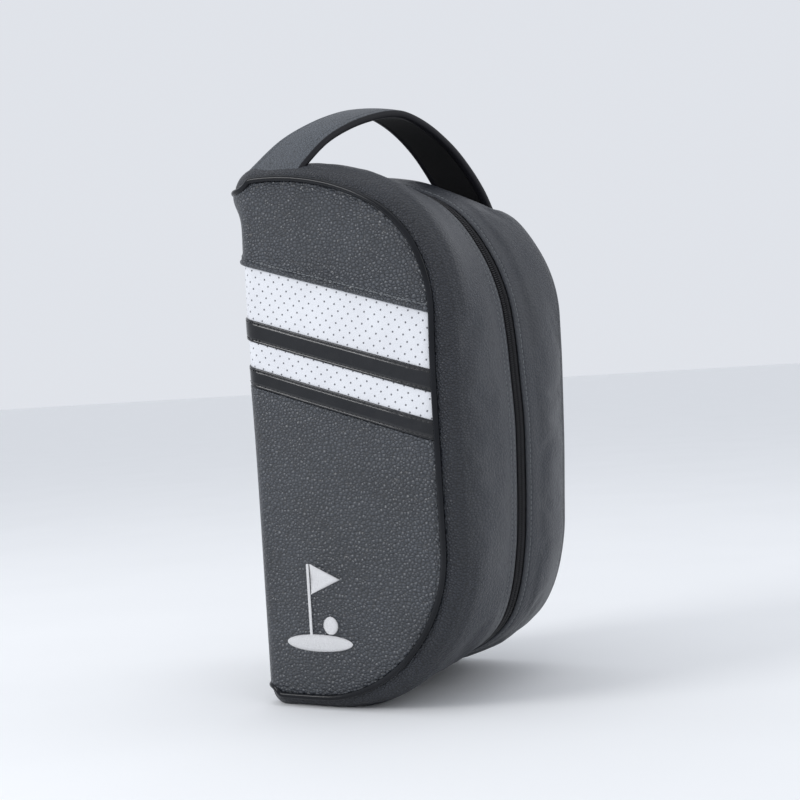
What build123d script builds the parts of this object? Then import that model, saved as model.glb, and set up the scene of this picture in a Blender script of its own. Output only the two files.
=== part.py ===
from build123d import *
from math import asin, cos, degrees, hypot, radians, sin
import os

# Golf shoe bag: a D-shaped clamshell case with a zip round its gusset and a strap handle.
# Millimetres, +Z up. The origin is on the floor, under the middle of the case.
# X runs from the straight spine to the rounded side. -Y is the front, +Y the back.
# Each wall is leather, then foam or board, then lining, as nested shells of one outline.

# Outline of the case, seen from the front
HEIGHT = 365.5
DEPTH = 176.0
SPINE_X = -79.0
SIDE_X = 79.0
TOP_ARC_X = -67.0  # where the top starts to fall away from the spine
TOP_ARC_R = 205.0
TOP_CORNER_R = 96.0
LOW_CORNER_R = 80.0
SPINE_CORNER_R = 12.0
EDGE_R = 9.0  # rolled edge between a panel and the gusset

# Wall layers
LEATHER = 1.4
FOAM = 2.4
LINING = 0.8
HALF_GAP = 0.15  # each half stops this far from the parting plane

# Piping
PIPING_R = 2.0

# Zip
ZIP_SLOT = 5.0  # half width of the band left open by the leather
COIL_OUT = 2.2
COIL_TOP = 0.6
COIL_LOW = 3.2
TAPE_OUT = 13.0
TAPE_T = 1.0
BINDING_IN = 6.0
STOP_LENGTH = 4.0
STOP_TOP = 0.1

# Banding across the front and the spine: heights where X = 0, and fall along X
BAND_TOP = 278.0
BAND_FALL = 0.30
BANDS = {
    "white_band_wide": 36.0,
    "patent_strip_upper": 15.0,
    "white_band_narrow": 17.5,
    "patent_strip_lower": 13.3,
}
BAND_REACH = 110.0

# Emblem
EMBLEM_X = -33.0
EMBLEM_Z = 70.0
EMBLEM_T = 0.6

# Handle: a strap across the top, on a slant from the front left to the back
STRAP_FRONT = (-51.0, -82.0)
STRAP_REAR = (9.0, 80.0)
STRAP_WIDTH = 37.0
STRAP_ARCH = [(-85.0, 365.0), (-60.0, 385.0), (-4.0, 410.0), (42.0, 392.0), (86.0, 338.0)]
STRAP_BENDS = [40.0, 50.0, 60.0]
STRAP_LINING = 1.2
STRAP_CORE = 2.2
STRAP_SKIN = 1.4
STRAP_CLEAR = HEIGHT + 3.5  # nothing of the strap is lower than this over the front half
TAB_TOP = HEIGHT + 2.5
TAB_T = 4.0

# Slider and pull, parked at the spine end of the top track
SLIDER_LENGTH = 13.0
SLIDER_WIDTH = 9.0
SLIDER_LIFT = 0.3
SLIDER_T = 1.5
SLIDER_X = -55.0
GUIDE_DROP = 1.0  # the slider's guide runs in the slot, on the rear side only
GUIDE_T = 1.6
BRIDGE_LENGTH = 5.0
BRIDGE_WIDTH = 2.4
BRIDGE_HEIGHT = 3.4
PULL_EYE_R = 0.9
PULL_LENGTH = 27.0
PULL_WIDTH = 7.0
PULL_T = 1.2
PULL_TILT = 5.0
EYE_CLEAR = 0.3

HALF = DEPTH / 2
TOP_CORNER_X = SIDE_X - TOP_CORNER_R
TOP_TURN = degrees(asin((TOP_CORNER_X - TOP_ARC_X) / (TOP_ARC_R - TOP_CORNER_R)))
TOP_ARC_Z = HEIGHT - TOP_ARC_R
TOP_CORNER_Z = TOP_ARC_Z + (TOP_ARC_R - TOP_CORNER_R) * cos(radians(TOP_TURN))
LOW_CORNER_X = SIDE_X - LOW_CORNER_R
CAVITY = LEATHER + FOAM + LINING

os.makedirs("parts", exist_ok=True)


def save(piece, name):
    """Label one finished sub-part and write its STEP file."""
    piece.part.label = name
    export_step(piece.part, f"parts/{name}.step")


def rim_path(inset):
    """Draw the open run over the top, down the rounded side and along the floor."""
    CenterArc((TOP_ARC_X, TOP_ARC_Z), TOP_ARC_R - inset, 90, -TOP_TURN)
    CenterArc((TOP_CORNER_X, TOP_CORNER_Z), TOP_CORNER_R - inset, 90 - TOP_TURN, TOP_TURN - 90)
    Line((SIDE_X - inset, TOP_CORNER_Z), (SIDE_X - inset, LOW_CORNER_R))
    CenterArc((LOW_CORNER_X, LOW_CORNER_R), LOW_CORNER_R - inset, 0, -90)
    Line((LOW_CORNER_X, inset), (TOP_ARC_X, inset))


def prism(inset, y_from, y_to):
    """The D outline, set in and extruded from one Y to another."""
    spine_r = SPINE_CORNER_R - inset
    with BuildPart() as solid:
        with BuildSketch(Plane.XZ.offset(-y_to)):
            with BuildLine():
                rim_path(inset)
                CenterArc((TOP_ARC_X, SPINE_CORNER_R), spine_r, 270, -90)
                Line((SPINE_X + inset, SPINE_CORNER_R), (SPINE_X + inset, HEIGHT - SPINE_CORNER_R))
                CenterArc((TOP_ARC_X, HEIGHT - SPINE_CORNER_R), spine_r, 180, -90)
            make_face()
        extrude(amount=y_to - y_from)
    return solid.part


def cup(inset):
    """Front half of the case, set in by `inset`, with its front edge rolled."""
    face_y = inset - HALF
    with BuildPart() as solid:
        add(prism(inset, face_y, -HALF_GAP))
        fillet(solid.faces().sort_by(Axis.Y)[0].edges(), EDGE_R - inset)
    return solid.part


def layer(outer, thickness):
    """One layer of the front half's wall, open towards the back."""
    with BuildPart() as solid:
        add(cup(outer))
        add(cup(outer + thickness), mode=Mode.SUBTRACT)
    return solid.part


def ring(outer, inner, y_from, y_to):
    """A band that follows the zip round the outline, between two insets."""
    with BuildPart() as solid:
        add(prism(outer, y_from, y_to))
        add(prism(inner, y_from, y_to), mode=Mode.SUBTRACT)
        with BuildSketch(Plane.XZ):
            with Locations((SPINE_X, HEIGHT / 2)):
                Rectangle(2 * SPINE_CORNER_R, 2 * HEIGHT)
        extrude(amount=HALF, both=True, mode=Mode.SUBTRACT)
    return solid.part


def wrap_zone(depth):
    """The space of the panel face, down to `depth`, and of the spine half beside it."""
    with BuildPart() as solid:
        add(prism(EDGE_R, -HALF, depth - HALF))
        with BuildSketch(Plane.XZ):
            with Locations((SPINE_X, HEIGHT / 2)):
                Rectangle(2 * SPINE_CORNER_R, HEIGHT - 2 * SPINE_CORNER_R)
        extrude(amount=HALF)
    return solid.part


def band_zone(upper, lower):
    """A slanted slab through the case between two heights at X = 0."""
    with BuildPart() as solid:
        with BuildSketch(Plane.XZ):
            with BuildLine():
                rise = BAND_FALL * BAND_REACH
                Polyline(
                    (-BAND_REACH, upper + rise),
                    (BAND_REACH, upper - rise),
                    (BAND_REACH, lower - rise),
                    (-BAND_REACH, lower + rise),
                    close=True,
                )
            make_face()
        extrude(amount=HALF, both=True)
    return solid.part


def cut(body, zones):
    """What is left of a body outside the zones."""
    with BuildPart() as solid:
        add(body)
        for zone in zones:
            add(zone, mode=Mode.SUBTRACT)
    return solid.part


def common(body, zone):
    """What a body and a zone share."""
    with BuildPart() as solid:
        add(body)
        add(zone, mode=Mode.INTERSECT)
    return solid.part


def spine_side(body):
    """The part of a wrap piece that lies on the spine, with the rolled corner."""
    with BuildPart() as solid:
        add(body)
        with BuildSketch(Plane.XZ):
            with Locations((SPINE_X, HEIGHT / 2)):
                Rectangle(2 * EDGE_R, 2 * HEIGHT)
        extrude(amount=HALF, mode=Mode.INTERSECT)
    return solid.part


def save_pair(body, front_name, rear_name):
    """Save a front piece and its mirror image on the rear half."""
    with BuildPart() as front_piece:
        add(body)
    save(front_piece, front_name)
    with BuildPart() as rear_piece:
        mirror(body, about=Plane.XZ)
    save(rear_piece, rear_name)


# Leather: the wrap of panel and spine, and the gusset
skin = layer(0, LEATHER)
wrap = common(skin, wrap_zone(EDGE_R))
gusset = cut(skin, [wrap_zone(EDGE_R), ring(-1, LEATHER, -ZIP_SLOT, 0)])
save_pair(gusset, "gusset_front", "gusset_rear")

band_foot = BAND_TOP - sum(BANDS.values())
above_bands = band_zone(HEIGHT * 2, BAND_TOP)
below_bands = band_zone(band_foot, -HEIGHT)
wrap_pieces = {
    "upper": common(wrap, above_bands),
    "lower": common(wrap, below_bands),
}
for place, piece in wrap_pieces.items():
    with BuildPart() as front_panel:
        add(piece)
    save(front_panel, f"front_panel_{place}")
    with BuildPart() as rear_spine:
        mirror(spine_side(piece), about=Plane.XZ)
    save(rear_spine, f"rear_spine_{place}")

band_upper = BAND_TOP
for name, width in BANDS.items():
    piece = common(wrap, band_zone(band_upper, band_upper - width))
    band_upper -= width
    with BuildPart() as front_band:
        add(piece)
    save(front_band, f"{name}_front")
    with BuildPart() as spine_band:
        mirror(spine_side(piece), about=Plane.XZ)
    save(spine_band, f"{name}_spine")

with BuildPart() as back_panel:
    mirror(cut(wrap, [spine_side(wrap)]), about=Plane.XZ)
save(back_panel, "back_panel")

# Padding and boards inside the wall, then the lining
padding = layer(LEATHER, FOAM)
zip_clear = ring(0, CAVITY + 1, -TAPE_OUT, 0)
panel_pad = common(padding, wrap_zone(EDGE_R))
spine_board = spine_side(panel_pad)
save_pair(cut(panel_pad, [spine_board]), "front_panel_foam", "back_panel_foam")
save_pair(spine_board, "spine_board_front", "spine_board_rear")
save_pair(cut(padding, [wrap_zone(EDGE_R), zip_clear]), "gusset_foam_front", "gusset_foam_rear")
save_pair(cut(layer(LEATHER + FOAM, LINING), [zip_clear]), "lining_front", "lining_rear")

# Zip: tape under the leather edge, coil in the slot, binding inside
tape_low = LEATHER + TAPE_T
save_pair(ring(LEATHER, tape_low, -TAPE_OUT, -COIL_OUT), "zipper_tape_front", "zipper_tape_rear")
save_pair(ring(COIL_TOP, COIL_LOW, -COIL_OUT, -HALF_GAP), "zipper_coil_front", "zipper_coil_rear")
save_pair(ring(tape_low, CAVITY, -TAPE_OUT, -BINDING_IN), "seam_binding_front", "seam_binding_rear")

with BuildPart() as zipper_stops:
    mirror(ring(STOP_TOP, COIL_TOP, -COIL_OUT, -HALF_GAP), about=Plane.XZ)
    with BuildSketch(Plane.XZ):
        with Locations((TOP_ARC_X + STOP_LENGTH / 2, HEIGHT / 2)):
            Rectangle(STOP_LENGTH, 2 * HEIGHT)
    extrude(amount=HALF, both=True, mode=Mode.INTERSECT)
save(zipper_stops, "zipper_stops")

# Piping round each panel's curved edge
with BuildPart() as piping_tube:
    with BuildLine(Plane.XZ.offset(HALF)) as piping_path:
        rim_path(EDGE_R)
    with BuildSketch(Plane(origin=piping_path.line @ 0, z_dir=piping_path.line % 0)):
        Circle(PIPING_R)
    sweep()
save_pair(cut(piping_tube.part, [cup(0)]), "piping_front", "piping_rear")

# Emblem: satin-stitched flag, pole, ball and mound, standing proud of the front panel
with BuildPart() as emblem:
    with BuildSketch(Plane.XZ.offset(HALF)):
        with Locations((EMBLEM_X - 6, EMBLEM_Z + 2)):
            Rectangle(2.4, 52)
        with BuildLine(Location((EMBLEM_X, EMBLEM_Z))):
            Polyline((-3.6, 28), (20, 18), (-3.6, 8), close=True)
        make_face()
        with Locations((EMBLEM_X + 10, EMBLEM_Z - 13)):
            Circle(6)
        with Locations((EMBLEM_X, EMBLEM_Z - 25)):
            Ellipse(27, 6)
    extrude(amount=EMBLEM_T)
save(emblem, "emblem")

# Handle: lining, core and leather, one over another along the same arch
strap_dx = STRAP_REAR[0] - STRAP_FRONT[0]
strap_dy = STRAP_REAR[1] - STRAP_FRONT[1]
strap_span = hypot(strap_dx, strap_dy)
strap_plane = Plane(
    origin=(
        (STRAP_FRONT[0] + STRAP_REAR[0] - STRAP_WIDTH) / 2,
        (STRAP_FRONT[1] + STRAP_REAR[1]) / 2,
        0,
    ),
    x_dir=(strap_dx / strap_span, strap_dy / strap_span, 0),
    z_dir=(strap_dy / strap_span, -strap_dx / strap_span, 0),
)
with BuildPart() as rear_body:
    mirror(cup(0), about=Plane.XZ)


def strap_layer(low, high):
    """One layer of the strap, between two distances above the underside of its arch."""
    with BuildPart() as strap:
        with BuildSketch(strap_plane):
            with BuildLine():
                FilletPolyline(*STRAP_ARCH, radius=STRAP_BENDS)
                offset(amount=high, side=Side.LEFT)
            make_face()
            if low > 0:
                with BuildLine():
                    FilletPolyline(*STRAP_ARCH, radius=STRAP_BENDS)
                    offset(amount=low, side=Side.LEFT)
                make_face(mode=Mode.SUBTRACT)
        extrude(amount=STRAP_WIDTH, dir=(1, 0, 0))
        add(rear_body.part, mode=Mode.SUBTRACT)
        with BuildSketch(Plane.XY.offset(STRAP_CLEAR)):
            with Locations((0, -HALF)):
                Rectangle(DEPTH, DEPTH)
        extrude(amount=-HALF, mode=Mode.SUBTRACT)
    return strap


core_top = STRAP_LINING + STRAP_CORE
save(strap_layer(0, STRAP_LINING), "handle_lining")
save(strap_layer(STRAP_LINING, core_top), "handle_core")
save(strap_layer(core_top, core_top + STRAP_SKIN), "handle_strap")

with BuildPart() as handle_tab:
    with BuildSketch(Plane.XY.offset(TAB_TOP)):
        with Locations(STRAP_FRONT):
            Rectangle(STRAP_WIDTH, TAB_T)
    extrude(amount=-EDGE_R)
    add(cup(0), mode=Mode.SUBTRACT)
save(handle_tab, "handle_tab")

# Slider and pull, on the tangent of the top arc where they park
slider_turn = asin((SLIDER_X - TOP_ARC_X) / TOP_ARC_R)
slider_plane = Plane(
    origin=(SLIDER_X, 0, TOP_ARC_Z + TOP_ARC_R * cos(slider_turn)),
    x_dir=(cos(slider_turn), 0, -sin(slider_turn)),
    z_dir=(sin(slider_turn), 0, cos(slider_turn)),
)
plate_top = SLIDER_LIFT + SLIDER_T
eye_z = plate_top + BRIDGE_HEIGHT / 2

with BuildPart() as slider:
    with BuildSketch(slider_plane.offset(SLIDER_LIFT)):
        SlotOverall(SLIDER_LENGTH, SLIDER_WIDTH)
    extrude(amount=SLIDER_T)
    chamfer(slider.faces().sort_by(Axis.Z)[-1].edges(), SLIDER_T / 4)
    with BuildSketch(slider_plane.offset(plate_top - SLIDER_T / 4)):
        Rectangle(BRIDGE_LENGTH, BRIDGE_WIDTH)
    extrude(amount=BRIDGE_HEIGHT)
    with BuildSketch(slider_plane.offset(-GUIDE_DROP)):
        with Locations((0, (ZIP_SLOT + COIL_OUT) / 2)):
            Rectangle(SLIDER_LENGTH / 2, GUIDE_T)
    extrude(amount=GUIDE_DROP + SLIDER_LIFT + SLIDER_T / 2)
    with Locations(slider_plane * Location((0, 0, eye_z), (90, 0, 0))):
        Cylinder(PULL_EYE_R + EYE_CLEAR, SLIDER_WIDTH, mode=Mode.SUBTRACT)
save(slider, "slider_body")

pull_turn = slider_turn + radians(PULL_TILT)
pull_plane = Plane(
    origin=(slider_plane * Location((0, 0, eye_z))).position,
    x_dir=(cos(pull_turn), 0, -sin(pull_turn)),
    z_dir=(sin(pull_turn), 0, cos(pull_turn)),
)
arm_gap = BRIDGE_WIDTH / 2 + EYE_CLEAR
with BuildPart() as pull_tab:
    with BuildSketch(pull_plane.offset(-PULL_T / 2)):
        with Locations((PULL_LENGTH / 2 - PULL_EYE_R, 0)):
            RectangleRounded(PULL_LENGTH, PULL_WIDTH, PULL_T)
        Rectangle(BRIDGE_LENGTH + 4 * EYE_CLEAR, 2 * arm_gap, mode=Mode.SUBTRACT)
        with Locations((PULL_LENGTH * 0.6, 0)):
            SlotOverall(PULL_LENGTH * 0.4, PULL_WIDTH * 0.4, mode=Mode.SUBTRACT)
    extrude(amount=PULL_T)
    with Locations(pull_plane * Location((0, 0, 0), (90, 0, 0))):
        Cylinder(PULL_EYE_R, PULL_WIDTH - 2 * EYE_CLEAR)
save(pull_tab, "pull_tab")
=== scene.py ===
"""Golf shoe bag: the look of the case, strap, zip and bands, built round the CAD frame.

Lengths in this file are millimetres until a mesh is made; Blender holds metres.
Sheets of leather are grids of points: rows run round the D outline, columns run across it.
"""

from math import cos, pi, radians, sin, sqrt

import bmesh
import bpy
import numpy as np
from mathutils import Matrix, Vector
from mathutils.bvhtree import BVHTree


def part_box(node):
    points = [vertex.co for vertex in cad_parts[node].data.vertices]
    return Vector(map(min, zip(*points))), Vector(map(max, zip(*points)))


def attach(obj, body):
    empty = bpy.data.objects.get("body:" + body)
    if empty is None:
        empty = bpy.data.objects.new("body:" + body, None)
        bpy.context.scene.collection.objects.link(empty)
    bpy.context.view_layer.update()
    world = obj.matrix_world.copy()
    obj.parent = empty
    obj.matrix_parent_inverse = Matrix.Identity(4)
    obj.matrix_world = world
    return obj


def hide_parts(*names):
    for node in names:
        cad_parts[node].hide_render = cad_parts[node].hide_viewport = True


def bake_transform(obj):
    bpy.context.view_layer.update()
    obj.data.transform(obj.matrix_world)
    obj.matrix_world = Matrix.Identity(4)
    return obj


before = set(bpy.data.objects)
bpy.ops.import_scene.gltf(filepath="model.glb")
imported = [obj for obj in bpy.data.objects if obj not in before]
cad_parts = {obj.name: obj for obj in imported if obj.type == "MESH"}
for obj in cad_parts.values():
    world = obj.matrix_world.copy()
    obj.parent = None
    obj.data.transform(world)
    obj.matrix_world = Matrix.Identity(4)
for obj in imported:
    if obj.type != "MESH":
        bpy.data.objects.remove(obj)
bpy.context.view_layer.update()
MM = 0.001

# ---------------------------------------------------------------- driving sizes
case_low, case_high = ([c / MM for c in corner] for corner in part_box("gusset_front"))
SPINE_X = case_low[0]
SIDE_X = case_high[0]
HALF = -case_low[1]
HEIGHT = case_high[2]
GAP = -case_high[1]  # each half stops this far from the parting plane

SPINE_CORNER_R = 12.0
TOP_ARC_R = 205.0
TOP_CORNER_R = 96.0
LOW_CORNER_R = 110.0  # the soft lower corner sags rounder than its board
SEAM_INSET = 7.5  # piping seam, in from the widest outline
ROLL_DEPTH = 12.0  # how far back the gusset's roll from the seam reaches
SEAM_DIP = 1.0  # the seam sits this far behind the panel's face
LEATHER = 1.3
ZIP_EDGE = 7.8  # leather stops this far from the parting plane
ZIP_VALLEY = 1.2
TAPE_DEPTH = 1.5
ZIP_STITCHES = (12.0, 18.6)  # stitch lines beside the zip, from the parting plane
PIPING_R = 2.1
PIPING_WRAP = 11  # columns of the spine's grid that the piping's ends turn round
ROW_STEP = 2.0
COLUMN_STEP = 2.4
ROLL_COLUMNS = 9
SWELL_STEP = 2.6  # columns between the gusset's roll and its hem
SWELL_END = 24.0
# Columns beside the zip, close together at the stitch lines
HEM_COLUMNS = [
    22, 20.6, 19.6, 19.1, 18.6, 18.1, 17.4, 16, 14.4, 13.2, 12.5, 12, 11.5, 10.9, 10, 9.2, 8.4,
]
HEM_START = 20.0  # from here to the parting plane, columns close up where there is no zip

# Bands: heights where X = 0, perpendicular widths follow from the fall
BAND_FALL = 0.30
BAND_SCALE = 1 / sqrt(1 + BAND_FALL**2)
BAND_TOP = 278.0
BANDS = [
    ("white_band_wide", 36.0),
    ("patent_strip_upper", 15.0),
    ("white_band_narrow", 17.5),
    ("patent_strip_lower", 13.3),
]


# ---------------------------------------------------------------- curves
def smooth(x, low, high):
    """0 below low, 1 above high, smooth between."""
    f = np.clip((np.asarray(x, float) - low) / (high - low), 0, 1)
    return f * f * (3 - 2 * f)


def hump(x, centre, width):
    """A smooth hump of height 1."""
    return np.exp(-(((x - centre) / width) ** 2))


def bell(width):
    """Weights of a smoothing window, which add up to 1."""
    window = np.hanning(width + 2)[1:-1]
    return window / window.sum()


def lengths(path):
    """Length along a path at each of its points."""
    return np.concatenate([[0], np.cumsum(np.linalg.norm(np.diff(path, axis=0), axis=1))])


def interpolated(places, known, values):
    """Rows of values at some places, from the rows that are known."""
    return np.stack([np.interp(places, known, column) for column in values.T], 1)


# ---------------------------------------------------------------- outline of the case
def arc_points(centre, radius, start, end, steps):
    """Points and outward normals along an arc, angles in degrees."""
    angles = np.radians(np.linspace(start, end, steps))
    normals = np.stack([np.cos(angles), np.sin(angles)], 1)
    return np.array(centre) + radius * normals, normals


def line_points(start, end, normal, steps):
    """Points and normals along a straight side."""
    ratio = np.linspace(0, 1, steps)[:, None]
    points = np.array(start) * (1 - ratio) + np.array(end) * ratio
    return points, np.repeat(np.array([normal], float), steps, 0)


def outline():
    """The curved run from the spine's top corner round to its bottom corner.

    Returns points, outward normals and lengths along, at even steps."""
    spine_arc_x = SPINE_X + SPINE_CORNER_R
    corner_x = SIDE_X - TOP_CORNER_R
    spread = TOP_ARC_R - TOP_CORNER_R
    turn = np.degrees(np.arcsin((corner_x - spine_arc_x) / spread))
    top_z = HEIGHT - TOP_ARC_R
    corner_z = top_z + spread * cos(radians(turn))
    low_x = SIDE_X - LOW_CORNER_R
    fine = 400
    runs = [
        arc_points((spine_arc_x, HEIGHT - SPINE_CORNER_R), SPINE_CORNER_R, 180, 90, fine),
        arc_points((spine_arc_x, top_z), TOP_ARC_R, 90, 90 - turn, fine),
        arc_points((corner_x, corner_z), TOP_CORNER_R, 90 - turn, 0, fine),
        line_points((SIDE_X, corner_z), (SIDE_X, LOW_CORNER_R), (1, 0), fine),
        arc_points((low_x, LOW_CORNER_R), LOW_CORNER_R, 0, -90, fine),
        line_points((low_x, 0), (spine_arc_x, 0), (0, -1), fine),
        arc_points((spine_arc_x, SPINE_CORNER_R), SPINE_CORNER_R, 270, 180, fine),
    ]
    points, normals = (np.concatenate(values) for values in zip(*runs))
    length = lengths(points)
    even = np.linspace(0, length[-1], int(length[-1] / ROW_STEP) + 1)
    points, normals = (interpolated(even, length, values) for values in (points, normals))
    normals /= np.linalg.norm(normals, axis=1)[:, None]
    marks = np.cumsum([0] + [lengths(run[0])[-1] for run in runs])
    return points, normals, even, marks


RIM, RIM_N, RIM_S, MARKS = outline()
ROWS = len(RIM)
SPINE_Z = np.linspace(RIM[0, 1], RIM[-1, 1], ROWS)


def along_rim(knots, width=21):
    """A smooth value along the rim from (place, value) knots.

    A place counts the outline's seven runs: 2.5 is halfway along the third one."""
    places = [np.interp(place, range(len(MARKS)), MARKS) for place, value in knots]
    values = np.interp(RIM_S, places, [value for place, value in knots])
    padded = np.pad(values, width // 2, mode="edge")
    return np.convolve(padded, bell(width), mode="valid")


# Swell of the gusset at the zip
ZIP_SWELL = along_rim([
    (0, 0), (2, 0), (2.15, -1.5), (2.5, -4.5), (2.8, -3.5), (3.1, 0.5), (3.5, 3.4),
    (3.85, 1.5), (4.1, -1.5), (4.25, 0.5), (4.38, 3.0), (4.5, 0.5), (4.65, -5), (4.8, -7),
    (4.95, -5), (5.1, -1), (5.3, 0), (7, 0),
])
# How far the rear half's side and lower corner are pulled in
REAR_TUCK = along_rim([
    (0, 0), (3.2, 0), (3.63, 2), (4.04, 5.5), (4.16, 6), (4.29, 4.5), (4.42, 3), (4.5, 3.5),
    (4.62, 7.0), (4.8, 10), (5.0, 4.5), (5.2, 0), (7, 0),
])
# Where the front half's gusset puffs up over the top
TOP_PUFF = along_rim([
    (0, 0), (1.1, 0), (1.3, 2.5), (1.6, 4.2), (2.0, 4.6), (2.2, 4.4), (2.4, 2.0), (2.7, 0.8),
    (7, 0.8),
])
# How much further in the front panel's seam lies along the side, where the gusset rolls over it
FRONT_TUCK = along_rim([
    (0, 0), (1.8, 0), (2.3, 1.5), (2.8, 4.5), (3.2, 6.5), (4.0, 6.5), (4.4, 6.0), (4.7, 3.5),
    (5.0, 0), (7, 0),
])
SPINE_PUFF = 3.2
EAR_PUFF = 8.0  # more padding at the spine's top corners
EAR_BELOW_TOP = 16.0
UPPER_PUFF = 3.2  # more padding beside the bands
UPPER_Z = BAND_TOP - 10
FOLD_REACH = 50.0  # the spine's leather flattens this near its fold, so that the halves swing clear
FOLD_CLEAR = 2.0  # stitches stop this short of the fold
STITCH_PULL = 0.45  # how deep the stitches beside the zip pull the leather in
REAR_LUMP = (46, 13, 2.5)  # X, width and height of the bulge on top of the rear half
REAR_DENT = (14, 20, 5.0)  # X, width and depth of the hollow beside it
LUMP_DEPTH = 72.0  # the bulge and the hollow lie this far from the parting plane
LUMP_REACH = 24.0
SPINE_BELLY = 1.2
SPINE_CREASE = 0.6  # the fold lies this much further in
HEM_TURN = ((0.15, 0.25), (0.5, 0.42), (0.9, 0.42))  # how far the zip hem's edge drops and pulls back
# 1 on the floor, beside the spine and where the zip is; 0 elsewhere
ON_FLOOR = smooth(-RIM_N[:, 1], 0.55, 0.98)
SPINE_END = 1 - smooth(np.minimum(RIM_S, RIM_S[-1] - RIM_S), 4, 34)
ZIP_OPEN = smooth(RIM_S, MARKS[1] - 3, MARKS[1] + 6)
ZIP_OPEN *= 1 - smooth(RIM_S, MARKS[6] - 6, MARKS[6] + 3)


class Half:
    """One half of the case. `side` is -1 for the front and +1 for the rear.

    Its padding swells the gusset by `pillow` and the middle of the face by `crown`, and presses
    on the leather with `pressure` in the cloth simulation."""

    def __init__(self, name, side, pillow, crown, pressure):
        self.name = name
        self.body = name + "_half"
        self.side = side
        self.pillow = pillow
        self.crown = crown
        self.pressure = pressure

    def at_depth(self, line, depth):
        """Points from rows of X and Z, all at one depth from the parting plane."""
        return np.stack([line[:, 0], np.full(ROWS, self.side * depth), line[:, 1]], 1)

    def across(self):
        """Depths of the gusset's columns from the parting plane, seam first."""
        roll = np.sin(np.linspace(0, pi / 2, ROLL_COLUMNS))
        roll_y = HALF - ROLL_DEPTH * (1 - np.sqrt(1 - roll**2))
        swell = np.arange(HALF - ROLL_DEPTH - 2.5, SWELL_END, -SWELL_STEP)
        return roll, np.concatenate([roll_y, swell, HEM_COLUMNS])

    def swell(self, depth):
        """Outward offset from the outline at a depth, for every row."""
        rest = HALF - ROLL_DEPTH
        f = np.clip((rest - depth) / (rest - ZIP_EDGE), 0, 1)
        lift = smooth(f, 0, 0.85)
        pillow = self.pillow * np.sin(pi * f) ** 0.8 * (1 - ON_FLOOR)
        offset = ZIP_SWELL * lift + pillow
        offset = offset - ZIP_VALLEY * np.exp(-max(depth - ZIP_EDGE, 0) / 5.0) * ZIP_OPEN
        if self.side > 0:
            (lump_x, lump_width, rise), (dent_x, dent_width, drop) = REAR_LUMP, REAR_DENT
            lump = hump(RIM[:, 0], lump_x, lump_width) * (RIM[:, 1] > HEIGHT / 2)
            dent = hump(RIM[:, 0], dent_x, dent_width) * (RIM[:, 1] > HEIGHT / 2)
            offset = offset + (rise * lump - drop * dent) * hump(depth, LUMP_DEPTH, LUMP_REACH)
            offset = offset - REAR_TUCK * smooth(depth, 15, HALF - ROLL_DEPTH)
        else:
            offset = offset + TOP_PUFF * hump(depth, HALF - 20, 17)
        grooves = sum(hump(depth, line, 0.8) for line in self.stitch_lines())
        puff = self.spine_puff(RIM[:, 1], depth) * SPINE_END
        return offset - STITCH_PULL * grooves * ZIP_OPEN + puff

    def profile(self, depth):
        """Outward offset of the leather at a depth, with the roll towards the seam."""
        turn = np.clip((depth - HALF + ROLL_DEPTH) / ROLL_DEPTH, 0, 1)
        roll = sqrt(1 - turn**2)
        return self.seam_offset() * (1 - roll) + self.swell(depth) * roll

    def stitch_lines(self):
        """Distances of the zip's stitch lines from the parting plane."""
        return ZIP_STITCHES if self.side < 0 else ZIP_STITCHES[:1]

    def seam_offset(self):
        """Outward offset of the piping seam from the outline, for every row."""
        return -SEAM_INSET - (REAR_TUCK if self.side > 0 else FRONT_TUCK)

    def seam(self, inwards=0.0):
        """X and Z of the piping seam, or of a line further in."""
        return RIM + RIM_N * (self.seam_offset() - inwards)[:, None]

    def spine_puff(self, z, depth):
        """How far the spine's padding stands out at heights z and a depth."""
        rolled = np.sqrt(np.clip((HALF - depth) / ROLL_DEPTH, 0, 1)) * smooth(depth, 0, 30)
        ear = EAR_PUFF * hump(z, HEIGHT - EAR_BELOW_TOP, 12) * smooth(depth, HALF - 45, HALF - 12)
        upper = UPPER_PUFF * hump(z, UPPER_Z, 60) * smooth(depth, 10, 45)
        return (SPINE_PUFF + ear + upper) * rolled

    def gusset(self):
        """Grid of the gusset leather, from the piping seam to the zip edge."""
        roll, depths = self.across()
        columns = []
        for k, depth in enumerate(depths):
            offset = self.swell(depth)
            if k < len(roll):
                offset = self.seam_offset() * (1 - roll[k]) + offset * roll[k]
            closing = smooth(HEM_START - depth, 0, HEM_START - ZIP_EDGE)
            reach = depth - (depth - GAP) * (1 - ZIP_OPEN) * closing
            folded = ZIP_OPEN + (1 - ZIP_OPEN) * smooth(reach, 0, FOLD_REACH / 2)
            columns.append(self.place(offset * folded, reach))
        for drop, pull in HEM_TURN:
            offset = self.swell(ZIP_EDGE) - drop * ZIP_OPEN
            reach = GAP + (ZIP_EDGE + 0.5 - pull - GAP) * ZIP_OPEN
            columns.append(self.place(offset, reach))
        return np.stack(columns, 1)

    def place(self, offset, depth):
        """Points of the rim pushed out by offset, at a depth from the parting plane."""
        points = RIM + RIM_N * np.asarray(offset)[:, None]
        depth = np.zeros(ROWS) + depth
        return np.stack([points[:, 0], self.side * depth, np.maximum(points[:, 1], 0)], 1)

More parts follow.
